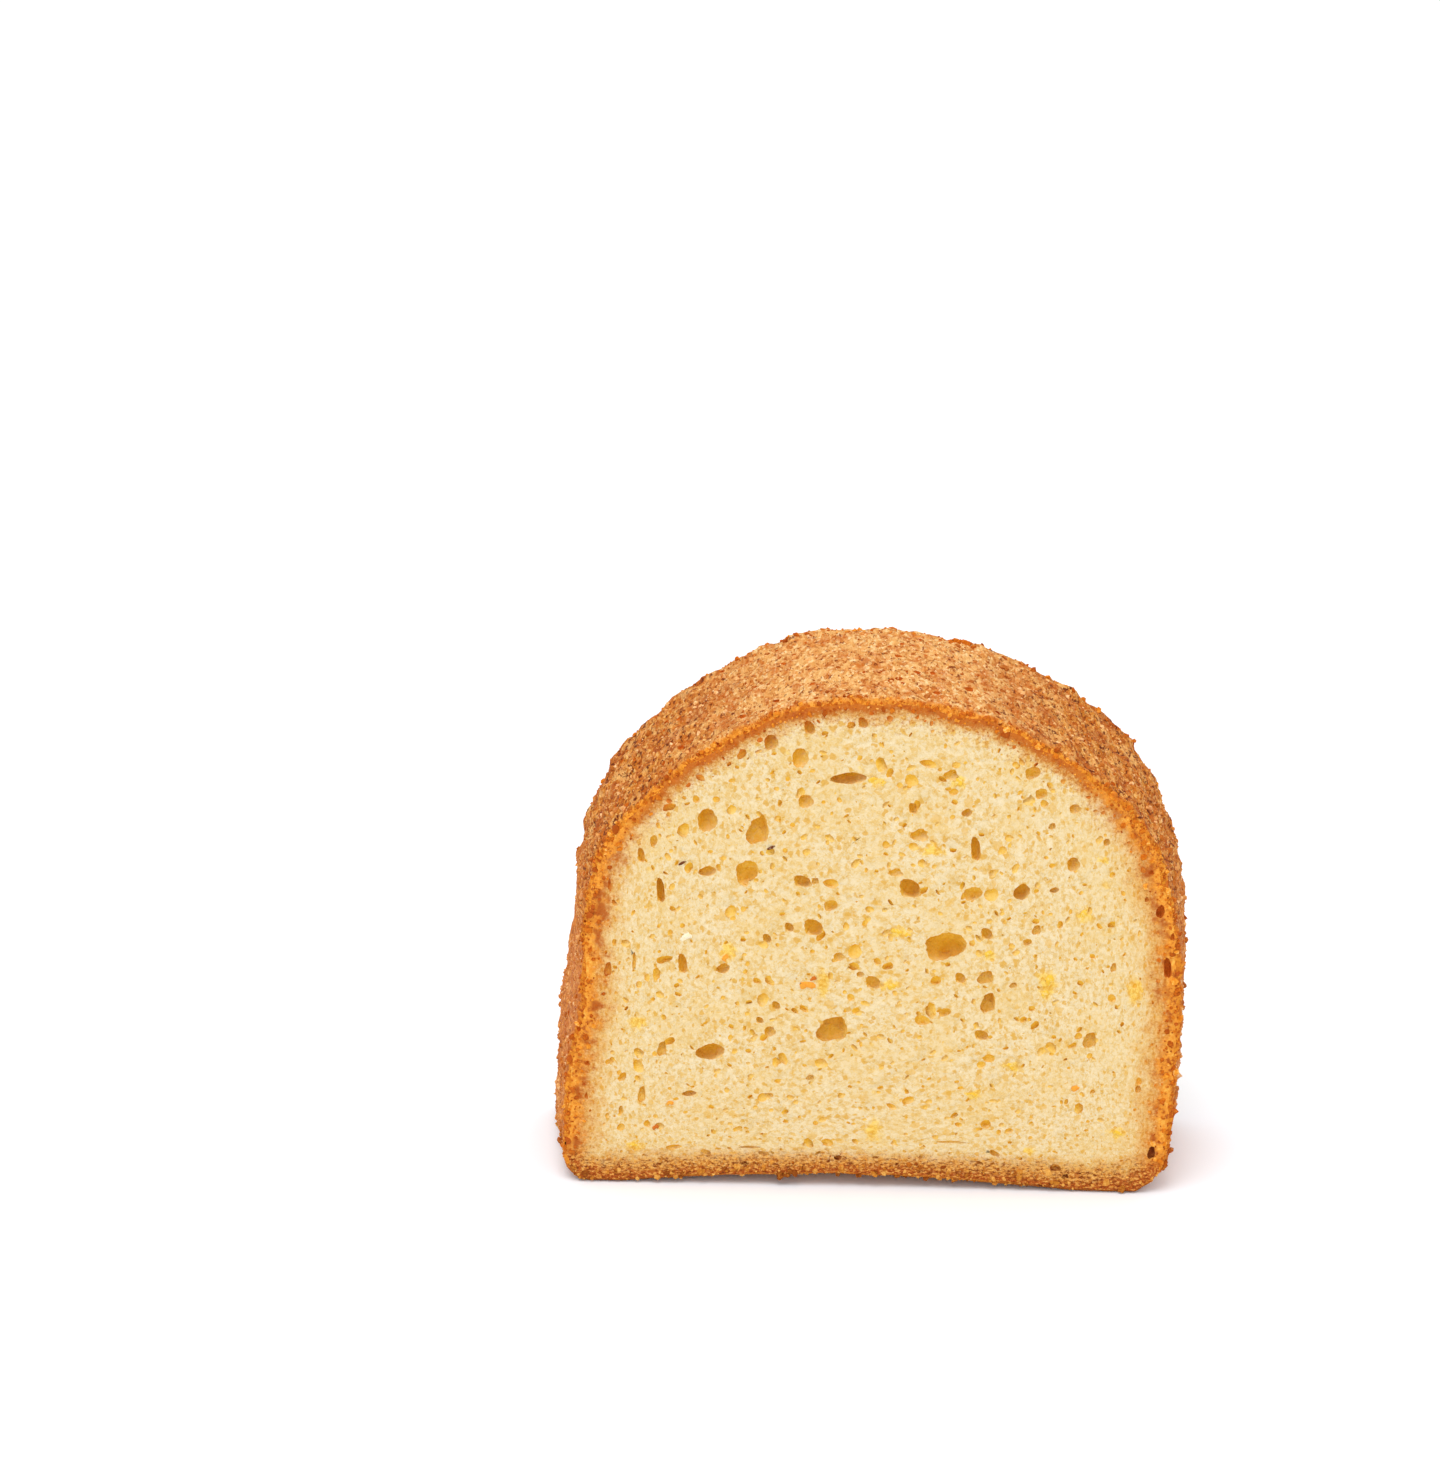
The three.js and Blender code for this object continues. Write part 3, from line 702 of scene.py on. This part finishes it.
# %% Tree: bubbles scattered on one kind of face
scatter, given, result = geometry_tree(
    "scatter bubbles",
    [
        ("Body", "Geometry", None),
        ("Zone", "Int", CUT),
        ("Per square mm", "Float", 0.1),
        ("Smallest", "Float", 0.5),
        ("Largest", "Float", 1.0),
        ("Depth", "Float", 0.38),
        ("Clear of crust", "Float", 1.0),
        ("Sides", "Int", 7),
        ("Rings", "Int", 3),
        ("Lumps", "Float", 0.2),
        ("Seed", "Int", 1),
    ],
)
w = scatter


# These helpers add nodes to the tree in hand, w, with its inputs, given.
def random_between(low, high, shift):
    """A random number for each point."""
    seed = w.math("ADD", given["Seed"], shift)
    values = {2: low, 3: high, "Seed": seed}
    return w.node("FunctionNodeRandomValue", values, data_type="FLOAT").outputs[1]


def random_vector(low, high, shift):
    """Three random numbers for each point."""
    return w.join(*(random_between(low, high, shift + axis) for axis in range(3)))


def carried(name, kind):
    """A value that the mesh carries."""
    return w.node("GeometryNodeInputNamedAttribute", {"Name": name}, data_type=kind).outputs[0]


def of_zone(number):
    """Picks the faces of one kind."""
    values = {2: carried("zone", "INT"), 3: number}
    return w.node("FunctionNodeCompare", values, data_type="INT", operation="EQUAL").outputs[0]


def crust_distance(body):
    """How far a point lies from the nearest crust face."""
    values = {"Geometry": body, "Selection": of_zone(CRUST)}
    crust_only = w.node("GeometryNodeSeparateGeometry", values, domain="FACE").outputs[0]
    near = w.node("GeometryNodeProximity", {0: crust_only}, target_element="FACES")
    return near.outputs["Distance"]


def coated(body, finish, **more):
    """Puts a finish on a body, or on the faces that are selected."""
    values = {"Geometry": body, "Material": finish, **more}
    return w.node("GeometryNodeSetMaterial", values).outputs[0]


def balls_on(points, shape, seed, **inputs):
    """Puts a ball of any kind on each point. Its shape is given as sides, rings and lumps."""
    pick = w.node("FunctionNodeRandomValue", {4: 0, 5: KINDS - 1, "Seed": seed}, data_type="INT")
    ball = w.group(bubble_kinds.tree, dict(zip(("Sides", "Rings", "Lumps"), shape)))
    values = {"Points": points, "Instance": ball, "Pick Instance": True, **inputs}
    values["Instance Index"] = pick.outputs[2]
    return w.node("GeometryNodeInstanceOnPoints", values).outputs[0]


place = w.split(w.node("GeometryNodeInputPosition").outputs[0])
from_middle = w.math("ABSOLUTE", place[0])
fewer_at_back = w.between(place[1], 8.0, 9.0, 1.0, 0.65)
points = w.node(
    "GeometryNodeDistributePointsOnFaces",
    {
        "Mesh": given["Body"],
        "Selection": of_zone(given["Zone"]),
        "Density": w.times(given["Per square mm"], fewer_at_back),
        "Seed": given["Seed"],
    },
)
mostly_small = w.math("POWER", random_between(0.0, 1.0, 1), 2.6)
size = w.between(mostly_small, 0.0, 1.0, given["Smallest"], given["Largest"])
band = w.between(from_middle, 30.0, 46.0, 0.0, 2.2)
margin = w.math("ADD", w.math("ADD", given["Clear of crust"], band), w.times(size, 0.5))
clear = w.math("GREATER_THAN", crust_distance(given["Body"]), margin)
flattened = w.between(place[2], 4.0, 26.0, 0.45, 1.0)
narrowed = w.between(from_middle, 30.0, 46.0, 1.0, 0.55)
half = w.times(size, 0.5)
scale = w.join(
    w.times(half, narrowed, random_between(0.75, 1.3, 2)),
    w.times(half, given["Depth"]),
    w.times(half, flattened, random_between(0.75, 1.3, 3)),
)
placed = balls_on(
    points.outputs[0],
    (given["Sides"], given["Rings"], given["Lumps"]),
    w.math("ADD", given["Seed"], 8),
    Selection=clear,
    Rotation=random_vector(-0.6, 0.6, 4),
    Scale=scale,
)
w.tree.links.new(placed, result)
print("scatter bubbles:", len(w.tree.nodes), "nodes")

# %% [markdown]
# The large holes are the solid's own. Each goes back where its box was, as a round-walled bubble with
# lumps, so that the knife-cut rim is a clean ragged line and not a polygon. Some smaller ones have
# places of their own too. They come as a cloud of points that carry their size.

# %% Cloud of the noted holes
SMALL_HOLES = [  # x, z, width and height of those too small for the solid: ovals, tears and slits
    (-8.2, 54.7, 1.2, 1.1), (-0.9, 38.5, 1.3, 1.0), (-34.0, 61.1, 1.1, 1.9), (29.1, 65.0, 1.2, 1.1),
    (37.8, 62.4, 1.1, 1.3), (25.6, 44.7, 1.3, 1.1), (29.8, 53.9, 1.4, 1.1), (23.6, 37.1, 1.3, 1.0),
    (39.5, 40.6, 1.0, 1.6), (-17.0, 29.9, 1.4, 1.1), (-8.8, 19.9, 1.4, 1.0), (-36.1, 16.2, 1.3, 2.9),
    (-39.5, 13.2, 0.8, 1.8), (-15.6, 16.5, 1.9, 0.9), (-18.5, 7.0, 3.3, 0.5), (14.3, 8.7, 4.9, 0.5),
    (44.1, 19.0, 1.0, 1.4), (-37.2, 40.0, 0.6, 3.5), (32.8, 2.9, 1.2, 0.9), (-19.4, 4.0, 1.4, 0.8),
    (-41.4, 38.5, 1.3, 2.5), (-41.0, 53.3, 0.6, 2.4), (-45.1, 15.7, 0.6, 1.3), (-44.9, 21.6, 0.9, 0.9),
    (45.0, 57.3, 0.9, 0.9), (44.4, 52.6, 0.7, 0.9), (48.7, 46.2, 0.7, 1.3),
]
SHALLOWER = 1.6  # how much deeper a hole is in the solid
SUNK = 0.18  # how far a hole's middle lies under the cut, as a share of its depth
WIDER = 1.05  # makes up for the flat sides of the balls
middles, sizes = [], []
for low, high in holes:
    on_back = high.y > 0
    reach = high - low
    middle = (low + high) / 2
    depth = reach.y / SHALLOWER
    middle.y = back_y(middle.z) - SUNK * depth if on_back else FRONT_Y + SUNK * depth
    middles.append(middle)
    sizes += (reach.x / 2 * WIDER, depth, reach.z / 2 * WIDER)
for x, z, wide, high in SMALL_HOLES:
    middles.append((x, FRONT_Y + 0.1, z))
    sizes += (wide / 2, min(wide, high) * 0.6, high / 2)
hole_cloud = point_cloud("hole_cloud", middles, size=sizes)
print("noted holes:", len(middles), "widest", round(max(sizes[::3]) * 2, 1), "mm")

# %% Tree: take all the bubbles out of the body
airy, given, result = geometry_tree(
    "airy crumb",
    [
        ("Geometry", "Geometry", None),
        ("Noted holes", "Object", None),
        ("Wide per square mm", "Float", 0.022),
        ("Medium per square mm", "Float", 0.085),
        ("Fine per square mm", "Float", 0.06),
        ("Pits per square mm", "Float", 0.04),
    ],
)
w = airy
solid = given["Geometry"]
noted = w.node("GeometryNodeObjectInfo", {"Object": given["Noted holes"]}).outputs["Geometry"]
large = balls_on(noted, (22, 8, 0.3), 4, Scale=carried("size", "FLOAT_VECTOR"))
sorts = {
    "Wide": {"Smallest": 1.4, "Largest": 2.7, "Clear of crust": 1.2, "Sides": 10, "Rings": 4},
    "Medium": {"Smallest": 0.8, "Largest": 1.4, "Clear of crust": 0.7, "Sides": 7, "Rings": 3},
    "Fine": {"Smallest": 0.45, "Largest": 0.8, "Clear of crust": 0.3, "Sides": 5, "Rings": 2},
    "Pits": {"Zone": CRUST, "Smallest": 0.6, "Largest": 1.5, "Depth": 1.0, "Clear of crust": -9.0,
             "Sides": 6, "Rings": 3},
}
bubbles = [
    w.group(
        scatter.tree,
        {"Body": solid, "Per square mm": given[f"{name} per square mm"], "Seed": 3 + number, **values},
    )
    for number, (name, values) in enumerate(sorts.items())
]
carved = w.node("GeometryNodeMeshBoolean", operation="DIFFERENCE", solver="MANIFOLD")
w.tree.links.new(solid, carved.inputs["Mesh 1"])
for cutter in [large, *bubbles]:
    w.tree.links.new(cutter, carved.inputs["Mesh 2"])
whole = w.node("GeometryNodeRealizeInstances", {0: carved.outputs[0]})
coat = coated(whole.outputs[0], crumb)
coat = coated(coat, crust, Selection=of_zone(CRUST))
w.tree.links.new(coat, result)
print("airy crumb:", len(w.tree.nodes), "nodes")

# %% Carve
carved_mesh = run_tree(cake, airy.tree, {"Noted holes": hole_cloud})
fine_body = bmesh.new()
fine_body.from_mesh(carved_mesh)
bmesh.ops.triangulate(fine_body, faces=[f for f in fine_body.faces if len(f.verts) > 3])
fine_body.to_mesh(carved_mesh)
print("triangles:", len(fine_body.faces))
print("open edges:", sum(len(e.link_faces) < 2 for e in fine_body.edges))
fine_body.free()

# %% [markdown]
# ## Loose grains
# Where the knife crossed the crust it tore off crumbs. They cling to both rims and to the browned band
# on the cut, and fewer of them stick to the crust itself, in patches. Each is a small lump sunk
# halfway in. One tree scatters them over the whole body: its density fades with the distance from the
# crust on the cuts, and from the rims on the crust. No grain lies over one of the noted holes. Each
# gets a tone of its own. A few larger crumbs have places of their own, on the walls, at the corners
# and along the base. Each is set on the nearest point of the crust.

# %% Cloud of the larger crumbs: x, y, z and width in mm
CRUMBS = [
    (50.9, -3.0, 41.5, 1.7), (51.5, -3.0, 32.1, 1.6), (49.9, -6.0, 57.9, 1.3), (49.5, -13.0, 7.1, 1.5),
    (49.1, -14.2, 5.1, 1.3), (-50.2, -11.0, 5.0, 1.3), (-13.6, -14.4, 2.4, 1.4), (-12.4, -14.3, 2.3, 1.1),
    (-4.1, -14.4, 1.9, 0.9), (-0.7, -14.4, 1.9, 1.0), (-11.1, -14.4, 3.1, 0.9), (50.8, 9.0, 22.0, 1.4),
    (21.0, 9.0, 80.4, 1.3), (-36.5, 8.0, 71.0, 1.3),
]
on_the_crust = [crust_tree.find_nearest((x, y, z))[0] for x, y, z, wide in CRUMBS]
crumb_cloud = point_cloud("crumb_cloud", on_the_crust, size=[wide / 2 for x, y, z, wide in CRUMBS])
print("larger crumbs:", len(on_the_crust))

# %% Tree: grains along the rims and on the crust
grainy, given, result = geometry_tree(
    "loose grains",
    [
        ("Geometry", "Geometry", None),
        ("Larger crumbs", "Object", None),
        ("Noted holes", "Object", None),
        ("Per square mm", "Float", 1.5),
        ("Smallest", "Float", 0.36),
        ("Largest", "Float", 1.45),
        ("Furthest out", "Float", 0.3),
        ("Seed", "Int", 21),
    ],
)
w = grainy
here = w.node("GeometryNodeInputPosition").outputs[0]
place = w.split(here)
facing = w.split(w.node("GeometryNodeInputNormal").outputs[0])
from_front = w.math("SUBTRACT", place[1], FRONT_Y)
from_back = w.math("SUBTRACT", back_y(40), place[1])
front_rim = w.between(from_front, 0.3, 1.8, 1.0, 0.0)
at_rim = w.math("MAXIMUM", front_rim, w.between(from_back, 0.3, 1.8, 0.6, 0.0))
patches = w.node("ShaderNodeTexNoise", {"Scale": 0.12, "Detail": 3.0}).outputs[0]
on_crust = w.math("MAXIMUM", at_rim, w.between(patches, 0.4, 0.6, 0.3, 0.75))
at_side = w.between(w.math("ABSOLUTE", place[0]), *SIDES, 0.0, 1.1)
at_base = w.between(place[2], 2.0, 6.0, 2.2, 0.0)
band = w.math("ADD", w.math("MAXIMUM", at_side, at_base), 1.3)
share = w.math("DIVIDE", crust_distance(given["Geometry"]), band)
fading = w.between(share, 0.35, 1.0, 1.0, 0.0)
above = w.between(facing[2], -0.5, -0.2)
hanging = w.times(at_rim, w.math("GREATER_THAN", place[2], 0.6))
above = w.math("MAXIMUM", above, hanging)
density = w.times(on_crust, fading, above)
points = w.node(
    "GeometryNodeDistributePointsOnFaces",
    {
        "Mesh": given["Geometry"],
        "Density": w.times(given["Per square mm"], density),
        "Seed": given["Seed"],
    },
)
mostly_small = w.math("POWER", random_between(0.0, 1.0, 1), 5.0)
size = w.between(mostly_small, 0.0, 1.0, given["Smallest"], given["Largest"])
on_cut = w.between(w.math("ABSOLUTE", facing[1]), 0.7, 0.9, 1.0, 0.55)
size = w.times(size, on_cut, w.between(at_rim, 0.0, 1.0, 0.75, 1.0))
scale = w.join(*(w.times(size, random_between(0.3, 0.6, 2 + k)) for k in range(3)))
turn = random_vector(0.0, 6.3, 5)  # a full turn
holes_at = w.node("GeometryNodeObjectInfo", {"Object": given["Noted holes"]}).outputs["Geometry"]
nearest = w.node("GeometryNodeSampleNearest", {"Geometry": holes_at}, domain="POINT").outputs[0]
middle, half = (
    w.node(
        "GeometryNodeSampleIndex",
        {"Geometry": holes_at, "Value": value, "Index": nearest},
        data_type="FLOAT_VECTOR",
    ).outputs[0]
    for value in (here, carried("size", "FLOAT_VECTOR"))
)
apart = w.vector("MULTIPLY", w.vector("SUBTRACT", here, middle), (1.0, 0.0, 1.0))
outside_holes = w.math("GREATER_THAN", w.vector("LENGTH", w.vector("DIVIDE", apart, half)), 1.15)
lumps = balls_on(
    points.outputs[0], (5, 3, 0.35), 31, Selection=outside_holes, Rotation=turn, Scale=scale
)
hung = w.node("GeometryNodeObjectInfo", {"Object": given["Larger crumbs"]}).outputs["Geometry"]
larger = balls_on(hung, (10, 7, 0.6), 31, Rotation=turn, Scale=carried("size", "FLOAT"))
both = w.node("GeometryNodeJoinGeometry", {0: [lumps, larger]})
toned = w.node(
    "GeometryNodeStoreNamedAttribute",
    {"Geometry": both.outputs[0], "Name": "tone", "Value": random_between(0.0, 1.0, 9)},
    data_type="FLOAT",
    domain="INSTANCE",
)
loose = w.node("GeometryNodeRealizeInstances", {0: toned.outputs[0]})
# A position node answers for the geometry that asks, so place now means the points of the lumps.
front_most = w.math("SUBTRACT", FRONT_Y, given["Furthest out"])
back_most = w.math("ADD", w.math("MULTIPLY_ADD", place[2], BACK_LEAN, BACK_Y), given["Furthest out"])
held_y = w.math("MINIMUM", w.math("MAXIMUM", place[1], front_most), back_most)
held = w.join(place[0], held_y, w.math("MAXIMUM", place[2], 0.0))
loose = w.node("GeometryNodeSetPosition", {"Geometry": loose.outputs[0], "Position": held})
w.tree.links.new(coated(loose.outputs[0], grain_finish), result)
print("loose grains:", len(w.tree.nodes), "nodes")

# %% Scatter the grains
clouds = {"Larger crumbs": crumb_cloud, "Noted holes": hole_cloud}
grain_mesh = run_tree(cake, grainy.tree, clouds)
for cloud in clouds.values():
    bpy.data.objects.remove(cloud)
cake.data = carved_mesh
grains = show("loose_grains", grain_mesh)
print("grains:", len(grain_mesh.polygons), "faces")

# %% [markdown]
# ## Bits of peel
# Each bit is a small lump, sunk into the cut so that only its face stands a little proud. A cloud of
# points carries the size and the tone of each one. The back cut gets bits at random places.

# %% Cloud of peel
BITS_AT_BACK = 22
draw = random.Random(8)
middles, sizes, tones = [], [], []
for x, z, wide, high, tone in PEEL:
    middles.append((x, FRONT_Y + 0.04, z))
    sizes += (wide * 0.5, 0.2, high * 0.5)
    tones.append(tone)
for _ in range(BITS_AT_BACK):
    x, z = draw.uniform(-37, 37), draw.uniform(7, 62)
    middles.append((x, back_y(z) - 0.06, z))
    sizes += (draw.uniform(0.4, 1.0), 0.22, draw.uniform(0.35, 0.7))
    tones.append(draw.choice((YELLOW, YELLOW, YELLOW, ORANGE)))
peel_bits = point_cloud("peel_bits", middles, size=sizes, tone=tones)
print("bits in all:", len(middles))

# %% Tree: a lump at each point
chopped, given, result = geometry_tree(
    "chopped peel", [("Geometry", "Geometry", None), ("Seed", "Int", 5)]
)
w = chopped
lean = w.join(0.0, random_between(-0.7, 0.7, 1), 0.0)
size = carried("size", "FLOAT_VECTOR")
bits = balls_on(given["Geometry"], (12, 8, 0.6), 9, Rotation=lean, Scale=size)
loose = w.node("GeometryNodeRealizeInstances", {0: bits})
w.tree.links.new(coated(loose.outputs[0], peel_finish), result)
peel_mesh = run_tree(peel_bits, chopped.tree, {})
peel_bits.data = peel_mesh
print("peel:", len(peel_mesh.polygons), "faces")

# %% [markdown]
# ## Where browning goes
# Heat browns cake from outside in, so colour depends on how far a point lies under the crust. The walls
# of a bubble are painted deeper in colour than the cut: partly their own colour, as they are smooth and
# oily, and partly painted shade, deepest where they face away from the lamp. So we store three things on
# the mesh for the crumb's finish to read: the depth under the crust, the depth under the cut, and which
# faces are walls.

# %% Store the depths
depths, unders = [], []
for vert in carved_mesh.vertices:
    depths.append(crust_tree.find_nearest(vert.co)[3])
    unders.append(max(0, below_cut(vert.co)))
for name, values in (("crust_depth", depths), ("under_cut", unders)):
    carved_mesh.attributes.new(name, "FLOAT", "POINT").data.foreach_set("value", values)
kinds = [entry.value for entry in carved_mesh.attributes["zone"].data]
walls = [float(kind == HOLE) for kind in kinds]
carved_mesh.attributes.new("wall", "FLOAT", "FACE").data.foreach_set("value", walls)
print("deepest point under the crust:", round(max(depths), 1), "mm")

# %% [markdown]
# ## A flat map for painting
# This map lets the slice's colours be painted onto one square picture. The two cuts lie side by side on
# it, seen straight on, and the crust is unrolled into two strips above them.

# %% Lay out the map
SHEET = 216  # mm across the square; the rest is in mm too
MARGIN = 2
STRIP_LONG, STRIP_HIGH = 210, 45  # each strip has half of the way round the crust
STRIPS_FROM, STRETCH = 100, 1.2
FRONT_MIDDLE, BACK_MIDDLE = 55, 162
centre = Vector((0, 0, 38))
flat_map = carved_mesh.uv_layers.new(name="OFBake")


def round_crust(point):
    """How far round the crust a point lies, from 0 to 1, starting under the base."""
    return (math.atan2(point.x, centre.z - point.z) / math.tau) % 1


for face in carved_mesh.polygons:
    around = [round_crust(carved_mesh.vertices[v].co) for v in face.vertices]
    wraps = max(around) - min(around) > 0.5
    for corner, vert, turn in zip(face.loop_indices, face.vertices, around):
        point = carved_mesh.vertices[vert].co
        if kinds[face.index] == CRUST:
            run = 2 * (turn + (wraps and turn < 0.5))
            row = 1 if wraps else int(min(around) + max(around))
            height = STRIPS_FROM + row * STRIP_HIGH + (point.y - FRONT_Y) * STRETCH
            spot = (MARGIN + (run - row) * STRIP_LONG, height)
        else:
            side = FRONT_MIDDLE if point.y < 0 else BACK_MIDDLE
            spot = (side + point.x, 2 * MARGIN + point.z)
        flat_map.data[corner].uv = (spot[0] / SHEET, spot[1] / SHEET)
print("map laid out over", SHEET, "mm")

# %% [markdown]
# ## Three finished pieces
# Blender works in metres, so the meshes are scaled now. Smooth shading hides their triangles, but the
# edges that the knife left stay sharp. All three pieces ride on the one body that the slice is.

# %% Back to metres, smooth but for the knife's edges
for mesh in (carved_mesh, grain_mesh, peel_mesh):
    mesh.transform(Matrix.Scale(MM, 4))
    mesh.polygons.foreach_set("use_smooth", [True] * len(mesh.polygons))
    mesh.set_sharp_from_angle(angle=math.radians(48))
    mesh.update()
print("scaled to metres:", round(max(v.co.z for v in carved_mesh.vertices), 3), "m high")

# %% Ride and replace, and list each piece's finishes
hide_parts("cake_slice")
for piece in (cake, grains, peel_bits):
    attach(piece, "root")
    print(piece.name, "wears", [slot.material.name for slot in piece.material_slots])

# %% [markdown]
# ## Studio
# The slice stands on a plain pale floor under very soft, even light.

# %% Floor, sky and lamp
ground = bpy.data.meshes.new("floor")
ground.from_pydata([(x, y, 0) for x, y in ((-4, -4), (4, -4), (4, 4), (-4, 4))], [], [(0, 1, 2, 3)])
floor = show("floor", ground)
pale = Paint("pale floor", roughness=0.9, gloss=0.1)
pale.shader.inputs["Base Color"].default_value = (0.93, 0.96, 1.0, 1)
ground.materials.append(pale.material)
floor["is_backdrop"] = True

world = bpy.data.worlds.new("soft white room")
world.use_nodes = True
world.node_tree.nodes["Background"].inputs[0].default_value = (1, 1, 1, 1)
world.node_tree.nodes["Background"].inputs[1].default_value = 1.0
scene.world = world


def lamp(name, place, size, power):
    light = bpy.data.lights.new(name, "AREA")
    light.shape = "DISK"
    light.size = size
    light.energy = power
    made = bpy.data.objects.new(name, light)
    made.location = place
    made.rotation_euler = (Vector((0, 0, 0.04)) - Vector(place)).to_track_quat("-Z", "Y").to_euler()
    scene.collection.objects.link(made)
    print(name, "lamp:", power, "W")


lamp("key", (-0.1, -0.45, 1.2), size=0.7, power=6.0)
scene.view_settings.view_transform = "Standard"
scene.view_settings.look = "None"

# %% Note the sizes and finish
[[list(corner) for corner in box] for box in (cad_bounds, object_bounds())]
